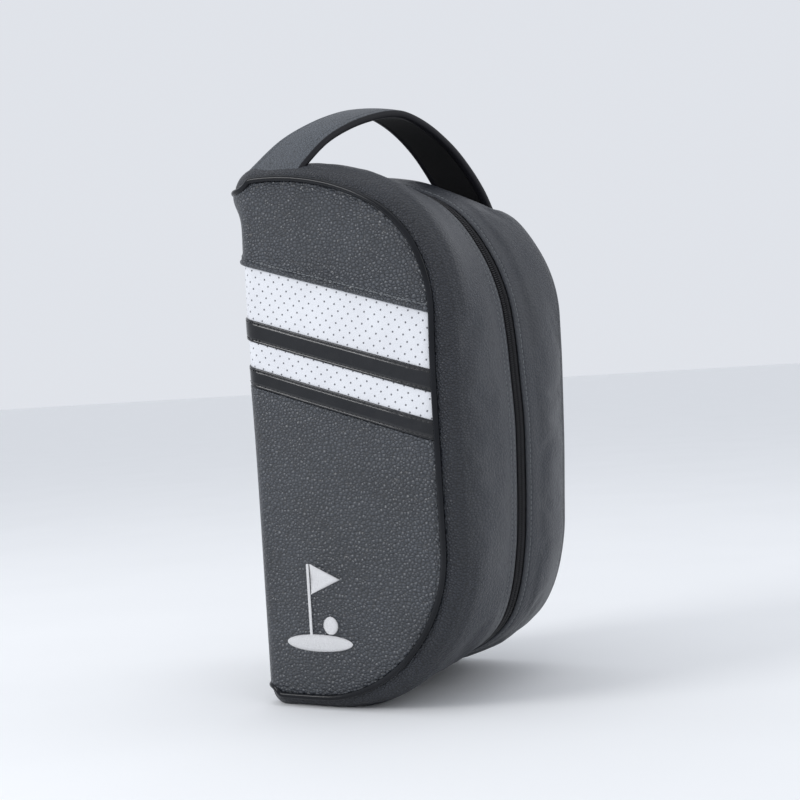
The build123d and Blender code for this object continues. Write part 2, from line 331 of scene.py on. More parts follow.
    def face(self):
        """Grid of the panel's face, from the piping seam to the spine's rolled edge."""
        rim = self.seam()
        edge = np.stack([np.full(ROWS, SPINE_X + SEAM_INSET), SPINE_Z], 1)
        columns = int((SIDE_X - SPINE_X) / COLUMN_STEP)
        near = np.array([0, 0.6, 1.3, 2.2, 3.4, 4.8]) / (SIDE_X - SPINE_X)
        steps = np.concatenate([near, np.linspace(0.045, 1, columns)])
        width = np.linalg.norm(rim - edge, axis=1)
        grid = []
        for step in steps:
            point = rim * (1 - step) + edge * step
            from_seam = step * width
            from_spine = (1 - step) * width
            rise = self.crown * (1 - np.exp(-from_seam / 14)) * smooth(from_spine, 0, 45)
            dip = SEAM_DIP * np.exp(-((from_seam / 3.2) ** 2)) * smooth(from_spine, 2, 14)
            grid.append(self.at_depth(point, HALF + rise - dip))
        return np.stack(grid, 1)

    def spine(self):
        """Grid of the spine's rolled edge and its flat, from the face to the parting plane."""
        angle = np.linspace(0, pi / 2, 10)[1:]
        roll = [(SEAM_INSET * (1 - sin(a)), HALF - ROLL_DEPTH * (1 - cos(a))) for a in angle]
        flat = [(0, depth) for depth in np.arange(HALF - ROLL_DEPTH - 2.5, 2, -2.5)]
        grid = []
        for inset, depth in roll + flat + [(0, 0.8), (0, GAP)]:
            f = np.clip((HALF - ROLL_DEPTH - depth) / (HALF - ROLL_DEPTH), 0, 1)
            ends = np.minimum(SPINE_Z - SPINE_Z[-1], SPINE_Z[0] - SPINE_Z)
            belly = SPINE_BELLY * sin(pi * f) * smooth(ends, 0, 60)
            crease = SPINE_CREASE * np.exp(-depth / 3) * smooth(ends, 0, 10)
            x = SPINE_X + inset - (belly + self.spine_puff(SPINE_Z, depth)) + crease
            grid.append(self.at_depth(np.stack([x, SPINE_Z], 1), depth))
        return np.stack(grid, 1)


# ---------------------------------------------------------------- mesh helpers
def add_object(name, data):
    """An object in the scene that holds some data."""
    added = bpy.data.objects.new(name, data)
    bpy.context.scene.collection.objects.link(added)
    return added


def mesh_piece(name, points, faces, material):
    """A mesh object from millimetre points and faces."""
    mesh = bpy.data.meshes.new(name)
    mesh.from_pydata([tuple(p) for p in np.asarray(points) * MM], [], [tuple(f) for f in faces])
    mesh.validate()
    mesh.polygons.foreach_set("use_smooth", [True] * len(mesh.polygons))
    mesh.materials.append(material)
    return add_object(name, mesh)


def grid_normals(grid):
    """Unit normals of a grid of the case, turned outwards."""
    normals = np.cross(np.gradient(grid, axis=0), np.gradient(grid, axis=1))
    normals /= np.maximum(np.linalg.norm(normals, axis=2), 1e-9)[..., None]
    outward = (grid - np.array([0, 0, HEIGHT / 2])) / np.array([1.0, 0.8, 3.0])
    flip = np.sign(np.sum(normals * outward, axis=2))
    flip[flip == 0] = 1
    return normals * flip[..., None]


def grid_faces(rows, columns, flipped):
    """Quads of a grid whose points are numbered row by row."""
    index = np.arange(rows * columns).reshape(rows, columns)
    quads = np.stack([index[:-1, :-1], index[1:, :-1], index[1:, 1:], index[:-1, 1:]], -1)
    quads = quads.reshape(-1, 4)
    return quads[:, ::-1] if flipped else quads


def outer_faces(grid):
    """Quads of a grid of the case, turned so that they face outwards."""
    rows, columns = grid.shape[:2]
    a, b = rows // 2, columns // 2
    probe = np.cross(grid[a + 1, b] - grid[a, b], grid[a, b + 1] - grid[a, b])
    flipped = np.dot(probe, grid_normals(grid)[a, b]) < 0
    return grid_faces(rows, columns, flipped)


def sheet(name, grid, material, thickness=LEATHER, coords=None, merge=0.0):
    """A sheet of leather or cloth from a grid, with its thickness inside it."""
    piece = mesh_piece(name, grid.reshape(-1, 3), outer_faces(grid), material)
    if coords is not None:
        layer = piece.data.uv_layers.new(name="flat")
        loop_verts = np.empty(len(piece.data.loops), int)
        piece.data.loops.foreach_get("vertex_index", loop_verts)
        flat = np.stack([c.reshape(-1) for c in coords], 1) * MM
        layer.data.foreach_set("uv", flat[loop_verts].reshape(-1))
    if merge:
        model = bmesh.new()
        model.from_mesh(piece.data)
        bmesh.ops.remove_doubles(model, verts=model.verts, dist=merge * MM)
        model.to_mesh(piece.data)
        model.free()
    if thickness:
        thicken(piece, thickness)
    return piece


def thicken(piece, thickness):
    """Give a sheet its thickness, inwards."""
    shell = piece.modifiers.new("thickness", "SOLIDIFY")
    shell.thickness = thickness * MM
    shell.offset = -1


def ring_faces(rings, sides):
    """Faces of a closed tube whose points are numbered ring by ring."""
    faces = []
    for i in range(rings - 1):
        for k in range(sides):
            n = (k + 1) % sides
            faces.append((i * sides + k, i * sides + n, (i + 1) * sides + n, (i + 1) * sides + k))
    last = (rings - 1) * sides
    return faces + [tuple(range(sides))[::-1], tuple(range(last, last + sides))]


def tube(name, path, radius, material, sides=12):
    """A round tube along a path of points."""
    tangents = np.gradient(path, axis=0)
    tangents /= np.linalg.norm(tangents, axis=1)[:, None]
    side = np.zeros_like(path)
    carried = np.cross(tangents[0], np.array([0.31, 0.27, 0.91]))
    for k, tangent in enumerate(tangents):
        carried = carried - tangent * np.dot(carried, tangent)
        carried = carried / np.linalg.norm(carried)
        side[k] = carried
    lift = np.cross(side, tangents)
    angles = np.linspace(0, 2 * pi, sides, endpoint=False)
    ring = [path + radius * (side * cos(a) + lift * sin(a)) for a in angles]
    return mesh_piece(name, np.stack(ring, 1).reshape(-1, 3), ring_faces(len(path), sides), material)


def capsule(radius, length, sides=6):
    """Points and faces of a small thread-shaped bead along X, centred."""
    ends = np.array([-1.0, -0.9, -0.55, 0.55, 0.9, 1.0]) * length / 2
    widths = np.array([0.15, 0.6, 1.0, 1.0, 0.6, 0.15]) * radius
    angles = np.linspace(0, 2 * pi, sides, endpoint=False)
    points = [(x, w * cos(a), w * sin(a)) for x, w in zip(ends, widths) for a in angles]
    return np.array(points), [face[::-1] for face in ring_faces(len(ends), sides)]


def beads(name, places, material, radius, length, height=1.0):
    """Copies of a bead: each place is a centre, a direction and an up direction."""
    shape, shape_faces = capsule(radius, length)
    points = []
    faces = []
    for centre, direction, up in places:
        direction = direction / np.linalg.norm(direction)
        up = up - direction * np.dot(up, direction)
        up = up / np.linalg.norm(up)
        across = np.cross(up, direction)
        start = len(points)
        for x, y, z in shape:
            points.append(centre + x * direction + y * across + z * height * up)
        faces += [tuple(start + v for v in face) for face in shape_faces]
    return mesh_piece(name, points, faces, material)


def resample(path, step, *others):
    """Points at an even spacing along a path, and other values at the same places."""
    length = lengths(path)
    places = np.arange(step / 2, length[-1], step)
    return [interpolated(places, length, np.asarray(values, float)) for values in (path, *others)]


def stitch_run(path, normals, step=3.6):
    """Places for a run of stitches along a line on the leather."""
    centres, ups = resample(path, step, normals)
    directions = np.gradient(centres, axis=0)
    return list(zip(centres, directions, ups))


# ---------------------------------------------------------------- cloth
def resize(values, indices, count, axis):
    """Spread values known at some indices of a grid over all of them."""
    values = np.moveaxis(values, axis, 0)
    full = interpolated(range(count), indices, values.reshape(len(indices), -1))
    return np.moveaxis(full.reshape((count,) + values.shape[1:]), 0, axis)


CLOTH_SLACK = 0.012  # how much longer the leather is than the grid it starts from
CLOTH_STEPS = 20
FACE_CAP = 1.8  # the furthest that the cloth may move the leather
GUSSET_CAP = 2.4
SHIFT_FADE = 3  # rows over which the shift fades out towards a sewn edge


def simulated(coarse, pressure):
    """How far a cloth simulation moves each point of a grid that is pinned along its edges."""
    mesh = bpy.data.meshes.new("cloth_run")
    faces = outer_faces(coarse)
    mesh.from_pydata([tuple(p) for p in coarse.reshape(-1, 3) * MM], [], [tuple(f) for f in faces])
    cloth_object = add_object("cloth_run", mesh)
    pins = cloth_object.vertex_groups.new(name="sewn")
    index = np.arange(coarse.shape[0] * coarse.shape[1]).reshape(coarse.shape[:2])
    sewn = set(index[0]) | set(index[-1]) | set(index[:, 0]) | set(index[:, -1])
    pins.add([int(v) for v in sewn], 1.0, "REPLACE")
    cloth = cloth_object.modifiers.new("cloth", "CLOTH")
    settings = cloth.settings
    settings.quality = 6
    settings.mass = 0.4
    settings.tension_stiffness = 25
    settings.compression_stiffness = 25
    settings.shear_stiffness = 10
    settings.bending_stiffness = 1.5
    settings.use_pressure = True
    settings.uniform_pressure_force = pressure
    settings.shrink_min = -CLOTH_SLACK
    settings.vertex_group_mass = "sewn"
    settings.effector_weights.gravity = 0
    cloth.collision_settings.use_collision = False
    scene = bpy.context.scene
    for step in range(1, CLOTH_STEPS + 1):
        scene.frame_set(step)
    evaluated = cloth_object.evaluated_get(bpy.context.evaluated_depsgraph_get())
    moved = np.empty(len(evaluated.data.vertices) * 3)
    evaluated.data.vertices.foreach_get("co", moved)
    bpy.data.objects.remove(cloth_object)
    scene.frame_set(1)
    return moved.reshape(coarse.shape) / MM - coarse


def settled(grid, pressure, cap):
    """The grid after a cloth simulation with padding behind it, sewn down along its edges."""
    rows, columns = grid.shape[:2]
    row_ids, column_ids = (np.unique(np.append(np.arange(0, n, 2), n - 1)) for n in (rows, columns))
    shift = simulated(grid[np.ix_(row_ids, column_ids)], pressure)
    size = np.linalg.norm(shift, axis=2, keepdims=True)
    shift = shift * np.minimum(1, cap / np.maximum(size, 1e-6))
    shift = resize(resize(shift, row_ids, rows, 0), column_ids, columns, 1)
    for axis, reach in ((0, 5), (1, 3)):
        padding = [(0, 0)] * 3
        padding[axis] = (reach // 2, reach // 2)
        padded = np.pad(shift, padding, mode="edge")
        shift = sum(weight * np.take(padded, range(k, k + grid.shape[axis]), axis)
                    for k, weight in enumerate(bell(reach)))
    for axis in (0, 1):
        count = grid.shape[axis]
        ends = np.minimum(np.arange(count), np.arange(count)[::-1])
        shift = shift * np.expand_dims(smooth(ends, 0, SHIFT_FADE), (1 - axis, 2))
    result = grid + shift
    result[..., 2] = np.maximum(result[..., 2], 0)
    return result


# ---------------------------------------------------------------- materials
class Nodes:
    """A material's node tree, with short calls for the nodes used here."""

    def __init__(self, name, base, roughness, **sockets):
        self.material = bpy.data.materials.new(name)
        self.material.use_nodes = True
        self.tree = self.material.node_tree
        self.shader = self.tree.nodes["Principled BSDF"]
        self.shader.inputs["Base Color"].default_value = (*base, 1)
        self.shader.inputs["Roughness"].default_value = roughness
        for socket, value in sockets.items():
            self.shader.inputs[socket.replace("_", " ")].default_value = value
        place = self.tree.nodes.new("ShaderNodeTexCoord")
        self.place = place.outputs["Object"]
        self.flat = place.outputs["UV"]

    def link(self, source, target):
        self.tree.links.new(source, target)

    def node(self, kind, inputs, **settings):
        """A node with its settings; its inputs are values, or outputs of other nodes."""
        made = self.tree.nodes.new(kind)
        for key, value in settings.items():
            setattr(made, key, value)
        for socket, value in inputs.items():
            if isinstance(value, bpy.types.NodeSocket):
                self.link(value, made.inputs[socket])
            else:
                made.inputs[socket].default_value = value
        return made

    def parts(self, vector):
        """X, Y and Z of a vector."""
        return self.node("ShaderNodeSeparateXYZ", {0: vector}).outputs

    def noise(self, scale, detail=2.0):
        inputs = {"Scale": scale, "Detail": detail, "Roughness": 0.5, "Vector": self.place}
        return self.node("ShaderNodeTexNoise", inputs).outputs["Fac"]

    def cells(self, scale, place, smoothness):
        inputs = {"Scale": scale, "Vector": place, "Smoothness": smoothness}
        made = self.node("ShaderNodeTexVoronoi", inputs, feature="SMOOTH_F1")
        return made.outputs["Distance"]

    def cell_edges(self, scale, place):
        inputs = {"Scale": scale, "Vector": place}
        made = self.node("ShaderNodeTexVoronoi", inputs, feature="DISTANCE_TO_EDGE")
        return made.outputs["Distance"]

    def math(self, operation, a, b=0.0, clamp=False):
        inputs = {0: a, 1: b}
        return self.node("ShaderNodeMath", inputs, operation=operation, use_clamp=clamp).outputs[0]

    def vector_math(self, operation, a, b):
        return self.node("ShaderNodeVectorMath", {0: a, 1: b}, operation=operation).outputs[0]

    def ramp(self, value, low, high, from_color, to_color):
        """A colour that goes from one to another while value goes from low to high."""
        inputs = {0: self.spread(value, low, high, 0.0, 1.0)}
        for socket, color in ((6, from_color), (7, to_color)):
            inputs[socket] = (*color, 1) if isinstance(color, tuple) else color
        return self.node("ShaderNodeMix", inputs, data_type="RGBA").outputs[2]

    def spread(self, value, low, high, to_low, to_high):
        """A number that goes from to_low to to_high while value goes from low to high."""
        inputs = {
            "Value": value, "From Min": low, "From Max": high, "To Min": to_low, "To Max": to_high,
        }
        return self.node("ShaderNodeMapRange", inputs, clamp=True).outputs["Result"]

    def wobble(self, scale, amount, place=None):
        """The place, shaken by noise, so that cells and weaves are uneven."""
        source = place or self.place
        shake = self.node("ShaderNodeTexNoise", {"Scale": scale, "Vector": source}).outputs["Color"]
        centred = self.vector_math("SUBTRACT", shake, (0.5, 0.5, 0.5))
        scaled = self.vector_math("MULTIPLY", centred, (amount, amount, amount))
        return self.vector_math("ADD", source, scaled)

    def bump(self, heights):
        """Bump from (height, distance in mm) layers."""
        under = {}
        for height, distance in heights:
            inputs = {"Distance": distance * MM, "Height": height, **under}
            under = {"Normal": self.node("ShaderNodeBump", inputs).outputs["Normal"]}
        self.link(under["Normal"], self.shader.inputs["Normal"])

    def color(self, value):
        self.link(value, self.shader.inputs["Base Color"])

    def roughness(self, value):
        self.link(value, self.shader.inputs["Roughness"])


def pebbled_leather(name, cell, depth, base, rough, stretch=(1, 1, 1), smooth_from=None, gloss=0.5):
    """Black leather with a pebbled grain of a given cell size and depth in millimetres.

    smooth_from gives two distances from the parting plane: the grain flattens between them."""
    m = Nodes(name, base, 0.45, Specular_IOR_Level=gloss)
    stretched = m.vector_math("MULTIPLY", m.place, stretch)
    place = m.wobble(420, 0.0007, stretched)
    domes = m.cells(1 / (cell * MM), place, 0.25)
    crease = m.spread(m.cell_edges(1 / (cell * MM), place), 0.0, 0.13, 0.0, 1.0)
    fine = m.noise(4200, 3)
    patches = m.noise(24, 2)
    height = m.math("SUBTRACT", m.math("MULTIPLY", crease, 0.3), m.math("MULTIPLY", domes, 1.2))
    crease_shade = crease
    if smooth_from:
        near, far = smooth_from
        depth_in = m.math("ABSOLUTE", m.parts(m.place)[1])
        grained = m.spread(depth_in, far * MM, near * MM, 0.35, 1.0)
        grained = m.math("ADD", grained, m.spread(patches, 0.45, 0.7, 0.0, 0.3), clamp=True)
        height = m.math("MULTIPLY", height, grained)
        ungrained = m.math("SUBTRACT", 1.0, grained)
        crease_shade = m.math("ADD", m.math("MULTIPLY", crease, grained), ungrained)
    m.bump([(m.noise(70, 2), 0.35), (height, depth), (fine, 0.03)])
    # Painted shade: the creases between the pebbles are coloured darker than the leather.
    painted_shade = tuple(c * 0.3 for c in base)
    light = tuple(c * 1.35 for c in base)
    tone = m.ramp(patches, 0.35, 0.7, base, light)
    m.color(m.ramp(crease_shade, 0.0, 0.9, painted_shade, tone))
    shine = m.math("ADD", m.math("MULTIPLY", fine, 0.35), m.math("MULTIPLY", patches, 0.65))
    m.roughness(m.spread(shine, 0.3, 0.7, *rough))
    return m.material


HOLE_PITCH = 7.9


def white_leather():
    """White leather, punched with a staggered lattice of small holes."""
    m = Nodes("white_leather", (0.78, 0.78, 0.79), 0.42, Specular_IOR_Level=0.5)
    distances = []
    for shift in (0.0, 0.5):
        squares = []
        for part in m.parts(m.flat)[:2]:
            place = m.math("ADD", m.math("DIVIDE", part, HOLE_PITCH * MM), shift)
            from_hole = m.math("SUBTRACT", m.math("FRACT", place), 0.5)
            squares.append(m.math("MULTIPLY", from_hole, from_hole))
        distances.append(m.math("SQRT", m.math("ADD", *squares)))
    hole = m.spread(m.math("MINIMUM", *distances), 0.058, 0.088, 0.0, 1.0)
    grain = m.cells(900, m.wobble(400, 0.0008), 0.6)
    stain = m.noise(35, 3)
    skin = m.ramp(stain, 0.35, 0.75, (0.73, 0.745, 0.78), (0.67, 0.68, 0.715))
    # Painted shade: the punched holes are coloured dark grey for the shade inside them.
    m.color(m.ramp(hole, 0.0, 1.0, (0.16, 0.16, 0.18), skin))
    m.roughness(m.spread(m.noise(700), 0.3, 0.7, 0.36, 0.5))
    m.bump([(hole, 0.5), (grain, 0.06), (m.noise(60), 0.15)])
    return m.material


def patent_leather(name, ripple, gloss=0.3, coat=0.25):
    """Black patent leather: a thick clear gloss over a slightly uneven skin."""
    m = Nodes(
        name, (0.006, 0.007, 0.009), 0.2,
        Specular_IOR_Level=gloss, Coat_Weight=coat, Coat_Roughness=0.04,
    )
    m.bump([(m.noise(55, 2), ripple), (m.noise(420, 2), 0.03)])
    m.color(m.ramp(m.noise(30), 0.3, 0.7, (0.005, 0.006, 0.008), (0.010, 0.011, 0.014)))
    m.roughness(m.spread(m.noise(160, 3), 0.35, 0.7, 0.12, 0.26))
    return m.material


WAVE_LENGTH = 0.314  # length of one wave of Blender's wave texture at scale 1


def woven(name, base, pitch, depth, rough=0.85):
    """Plain woven cloth with threads of a given width in millimetres."""
    m = Nodes(name, base, rough, Specular_IOR_Level=0.2, Sheen_Weight=0.06, Sheen_Roughness=0.5)
    place = m.wobble(300, 0.0004)
    inputs = {"Scale": WAVE_LENGTH / (pitch * MM), "Vector": place}
    waves = [m.node("ShaderNodeTexWave", inputs, bands_direction=axis).outputs["Fac"]
             for axis in "XYZ"]
    weave = m.math("MULTIPLY", m.math("MAXIMUM", waves[0], waves[1]), waves[2])
    m.bump([(weave, depth), (m.noise(3000), 0.03)])
    # Painted shade and highlight: the weave's low places are coloured darker and its thread tops
    # lighter.
    painted_shade = tuple(c * 0.75 for c in base)
    light = tuple(c * 1.25 for c in base)
    m.color(m.ramp(weave, 0.1, 0.9, painted_shade, light))
    return m.material


def thread_material(name, base, rough=0.6, sheen=0.3, gloss=0.4):
    """Twisted sewing thread."""
    m = Nodes(name, base, rough, Sheen_Weight=sheen, Specular_IOR_Level=gloss)
    fibre = m.noise(3500, 3)
    m.bump([(fibre, 0.06)])
    # Painted shade and highlight: the thread is coloured darker where its fibre bump is low and
    # lighter where it is high.
    painted_shade = tuple(c * 0.7 for c in base)
    light = tuple(min(c * 1.2, 1) for c in base)
    m.color(m.ramp(fibre, 0.3, 0.7, painted_shade, light))
    return m.material


def enamel(name, base, rough):
    """Enamelled zinc of the zip's slider."""
    m = Nodes(name, base, rough, Metallic=0.6, Coat_Weight=0.3)
    wear = m.noise(500, 4)
    m.color(m.ramp(wear, 0.55, 0.75, base, tuple(c * 2.2 for c in base)))
    m.roughness(m.spread(wear, 0.3, 0.7, rough * 0.8, rough * 1.3))
    m.bump([(m.noise(1200, 2), 0.02)])
    return m.material


LEATHER_FACE = pebbled_leather(
    "leather_face", 2.4, 1.0, (0.036, 0.041, 0.050), (0.29, 0.41), stretch=(0.9, 1, 1.1), gloss=0.65,
)
# Painted shade: the gusset's copy of the black leather has a darker base colour than the face's.
SHADED_LEATHER_GUSSET = pebbled_leather(
    "leather_gusset_shaded", 1.9, 0.85, (0.023, 0.026, 0.033), (0.36, 0.50), stretch=(1.0, 0.7, 1.15),
    smooth_from=(84, 60), gloss=0.42,
)
# Painted light: the strap's copy of the black leather has a lighter base colour, for the light
# falling on it from above.
LIT_LEATHER_STRAP = pebbled_leather("leather_strap_lit", 1.7, 0.5, (0.062, 0.071, 0.084), (0.40, 0.54))
WHITE = white_leather()
PATENT = patent_leather("patent_leather", 0.7)
PIPING = patent_leather("patent_piping", 0.25, gloss=0.06, coat=0.3)
# Painted highlight: the black thread is coloured grey so that its glints show against the dark
# leather.
LIT_STITCH = thread_material("black_thread_lit", (0.13, 0.14, 0.15))
DARK_STITCH = thread_material("patent_thread", (0.012, 0.012, 0.014))
WHITE_THREAD = thread_material("white_thread", (0.70, 0.70, 0.71), 0.45)
TAPE = woven("zip_tape", (0.007, 0.007, 0.009), 0.6, 0.12)
COIL = thread_material("zip_coil", (0.006, 0.006, 0.008), 0.5, sheen=0.0, gloss=0.2)
# Painted shade: a near-black colour for the strap's rolled edges.
DARK_STRAP_EDGE = thread_material("strap_edge_shade", (0.009, 0.009, 0.012), 0.5, sheen=0.0, gloss=0.25)
LINING = woven("lining_cloth", (0.022, 0.022, 0.025), 0.5, 0.08)
FOAM = thread_material("foam", (0.12, 0.12, 0.12), 0.95)
WEBBING = woven("strap_lining", (0.008, 0.008, 0.009), 0.45, 0.08, 0.95)
METAL = enamel("zip_enamel", (0.022, 0.022, 0.024), 0.3)


# ---------------------------------------------------------------- layers of the case
WALL = 4.2  # the lining lies this far inside the leather's face
FOAM_IN = 1.7
FOAM_T = 1.8
FOAM_END = 14.0  # the gusset's foam and lining stop this far from the parting plane
LINING_END = 12.0
LINING_T = 0.7
COIL_LIFT = 0.75  # the coil's height over its tape
COIL_PITCH = 1.5
COIL_R = 0.58
COIL_MIDDLE = 2.6  # middle of a coil's turns, from the parting plane
COIL_TURN = 5.6
COIL_SLANT = 0.16
TAPE_T = 0.5
BINDING_T = 0.8
TAPE_COLUMNS = (12.8, 10, 8, 7, 6, 5, 4.4, 3.8, 3.2, 2.6, 2.0, 1.4, 0.8, 0.3)
BINDING_COLUMNS = (14, 12.5, 11, 9.5, 8, 6.8, 6.2)
BINDING_IN = 3.4
HINGE_TAPE_HALF = 10.0  # half the width of the hinge tape
HINGE_TAPE_IN = 2.0
HINGE_BEND = 2.5
STITCH_R = 0.42
STITCH_LENGTH = 2.9
STITCH_FLAT = 0.8


def inner_depths(wall, end):
    """Depths of an inner wall's columns, close together where it turns in from the face."""
    start = HALF - wall
    turn = start - np.array([0, 0.4, 1.2, 2.6, 4.5, 7, 10])
    return np.concatenate([turn, np.linspace(start - 13, end, 16)])


def inner_face(half, wall):
    """The panel's face, one wall layer further in."""
    rim = half.seam(wall)
    edge_x = np.full(ROWS, SPINE_X + SEAM_INSET + wall)
    edge = np.stack([edge_x, np.clip(SPINE_Z, rim[-1, 1], rim[0, 1])], 1)
    columns = [rim * (1 - s) + edge * s for s in np.linspace(0, 1, 24)]
    return np.stack([half.at_depth(column, HALF - wall) for column in columns], 1)


def inner_side(half, wall, end):
    """The gusset one wall layer further in, from the face to `end` from the parting plane."""
    columns = [half.place(half.profile(min(depth + wall, HALF)) - wall, depth)
               for depth in inner_depths(wall, end)]
    return np.stack(columns, 1)


def inner_spine(half, wall):
    """The spine one wall layer further in."""
    ends = np.clip(SPINE_Z, SPINE_Z[-1] + wall, SPINE_Z[0] - wall)
    columns = []
    for depth in inner_depths(wall, GAP):
        turn = np.clip((depth + wall - HALF + ROLL_DEPTH) / ROLL_DEPTH, 0, 1)
        x = SPINE_X + wall + SEAM_INSET * (1 - sqrt(1 - turn**2))
        columns.append(half.at_depth(np.stack([np.full(ROWS, x), ends], 1), depth))
    return np.stack(columns, 1)


def finish_piece(piece, body, slot, *nodes, fill=None):
    """Ride a body and stand for CAD nodes, which are hidden. The slot and fill are not used."""
    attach(piece, body)
    if nodes:
        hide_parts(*nodes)
    return piece


def thread(name, runs, material):
    """Stitches at the places of some runs."""
    return beads(name, runs, material, STITCH_R, STITCH_LENGTH, STITCH_FLAT)


def wrap_coords(face, spine):
    """Flattened coordinates for a panel and the spine strip that goes with it."""
    x = np.concatenate([face[..., 0], spine[..., 0]], 1)
    z = np.concatenate([face[..., 2], spine[..., 2]], 1)
    joined = np.concatenate([face[:, -1:], spine], 1)
    run = np.cumsum(np.linalg.norm(np.diff(joined, axis=1), axis=2), axis=1)
    length = np.concatenate([face[..., 0], face[:, -1:, 0] - run], 1)
    return (length - BAND_FALL * z) * BAND_SCALE, (z + BAND_FALL * x) * BAND_SCALE


STITCH_LINES = {"folded_hem": 4.6, "strip_edge": 1.9}  # distance in from each hem's edge
WHITE_INSET = 0.45


def rounded(distance, radius, height):
    """Height above the base of a rounded hem, at a distance in from its edge."""
    f = np.clip(1 - distance / radius, 0, 1)
    return height * np.sqrt(1 - f * f)


def groove(distance, line, depth=0.4, width=0.75):
    """The dip that a run of stitches pulls into the leather."""
    return -depth * np.exp(-(((distance - line) / width) ** 2))


def folded_hem(distance):
    """The upper panel's turned and topstitched lower edge, over the bands."""
    line = STITCH_LINES["folded_hem"]
    body = rounded(distance, 2.4, 2.8) - 2.2 * smooth(distance, line, 8)
    return body + groove(distance, line, 1.5, 1.3)


def thin_hem(distance):
    """The lower panel's plain upper edge."""
    return rounded(distance, 0.8, 1.0) + groove(distance, 2.4, 0.25, 0.6)


def strip_edge(distance):
    """A patent strip's edge."""
    return rounded(distance, 0.9, 0.75) + groove(distance, STITCH_LINES["strip_edge"], 0.3, 0.55)


def level(distance):
    """A white band, with no hem, let in below its neighbours."""
    return 0 * distance - WHITE_INSET


def round_spine(vertex):
    """A number that grows from the fold round the spine's edge and along the face."""
    on_spine = vertex.co.x < (SPINE_X + 9) * MM
    return vertex.co.x - abs(vertex.co.y) if on_spine else vertex.co.x + 1


def unfolded(vertex):
    """0 at the spine's fold, where hems are pressed flat, and 1 away from it."""
    return float(smooth(abs(vertex.co.y) / MM, 0, FOLD_REACH))


HEM_CUTS = (0.12, 0.3, 0.6, 0.9, 1.3, 1.9, 2.4, 3.2, 3.9, 4.6, 5.3, 6.2, 8.0, 11.0)
ON_LINE = 2e-6  # metres: a vertex this near a cut lies on it
STITCH_RISE = 0.12  # the middle of a stitch lies this far over the leather


def band_piece(name, wrap, material, upper, lower, upper_hem, lower_hem):
    """Cut one piece out of the wrap between two slanted lines and raise its edges.

    Returns the piece and its stitch places."""
    model = bmesh.new()
    model.from_mesh(wrap.data)
    across = Vector((BAND_FALL, 0, 1)).normalized()

    def slice_at(line, above=False, below=False):
        geometry = model.verts[:] + model.edges[:] + model.faces[:]
        bmesh.ops.bisect_plane(
            model, geom=geometry, plane_co=across * line * MM, plane_no=across,
            clear_outer=above, clear_inner=below, dist=1e-7,
        )

    lines = []
    if upper is not None:
        slice_at(upper, above=True)
        lines.append((upper, -1, upper_hem))
    if lower is not None:
        slice_at(lower, below=True)
        lines.append((lower, 1, lower_hem))
    for line, turn, hem in lines:
        if hem is not level:
            for cut in HEM_CUTS:
                if upper is None or lower is None or cut < (upper - lower) / 2:
                    slice_at(line + turn * cut)
    model.normal_update()
    stitches = []
    for line, turn, hem in lines:
        stitch_line = STITCH_LINES.get(hem.__name__)
        if stitch_line is None:
            continue
        target = (line + turn * stitch_line) * MM
        on_line = [v for v in model.verts if abs(v.co.dot(across) - target) < ON_LINE]
        on_line = [v for v in on_line if abs(v.co.y) > FOLD_CLEAR * MM]
        on_line.sort(key=round_spine)
        height = hem(np.array([stitch_line]))[0]
        path = [np.array(v.co) / MM + np.array(v.normal) * (height * unfolded(v) + STITCH_RISE)
                for v in on_line]
        ups = [np.array(v.normal) for v in on_line]
        if len(path) > 4:
            stitches += stitch_run(path, ups)
    model.verts.ensure_lookup_table()
    ups = np.array([v.co.dot(across) for v in model.verts]) / MM
    lift = np.min([hem(np.maximum((ups - line) * turn, 0)) for line, turn, hem in lines], axis=0)
    for v, height in zip(model.verts, lift):
        v.co += v.normal * height * (unfolded(v) if height > 0 else 1.0) * MM
    mesh = bpy.data.meshes.new(name)
    model.to_mesh(mesh)
    model.free()
    mesh.materials.clear()
    mesh.materials.append(material)
    return add_object(name, mesh), stitches


CUTS = [BAND_TOP * BAND_SCALE]
for band_name, band_width in BANDS:
    CUTS.append(CUTS[-1] - band_width * BAND_SCALE)
BAND_NAMES = [band_name for band_name, band_width in BANDS]
BAND_TUCK = 1.5  # white leather runs this far under its neighbours
BAND_LEATHER = LEATHER * 0.7
BACK_COLUMNS = 7  # columns of the spine's grid that the back panel's edge covers
BACK_OVERLAP = 1.2
MERGE = 0.02  # points of a panel's grid that lie this close become one
PIPING_PROUD = 0.7  # the piping's middle lies this far outside the panel's plane


def cut_wrap(half, wrap, panel, suffix):
    """Cut a wrap into leather panels, white bands and patent strips, and stitch them."""
    patent_stitches = []
    upper, hem_stitches = band_piece(
        panel + "_upper_leather", wrap, LEATHER_FACE, None, CUTS[0], None, folded_hem,
    )
    lower = band_piece(
        panel + "_lower_leather", wrap, LEATHER_FACE, CUTS[-1], None, thin_hem, None,
    )[0]
    for piece, place in ((upper, "_upper"), (lower, "_lower")):
        thicken(piece, LEATHER)
        finish_piece(piece, half.body, "black_leather", panel + place, fill=0.5)
    for band, top, bottom in zip(BAND_NAMES, CUTS, CUTS[1:]):
        if band.startswith("white"):
            hem, material, slot, tuck = level, WHITE, "white_leather", BAND_TUCK
        else:
            hem, material, slot, tuck = strip_edge, PATENT, "patent", 0.0
        node = band + suffix
        piece, runs = band_piece(
            node + "_leather", wrap, material, top + tuck, bottom - tuck, hem, hem,
        )
        patent_stitches += runs
        thicken(piece, BAND_LEATHER)
        finish_piece(piece, half.body, slot, node)
    finish_piece(thread("hem_stitches" + suffix, hem_stitches, LIT_STITCH), half.body, "coil")
    finish_piece(thread("strip_stitches" + suffix, patent_stitches, DARK_STITCH), half.body, "coil")


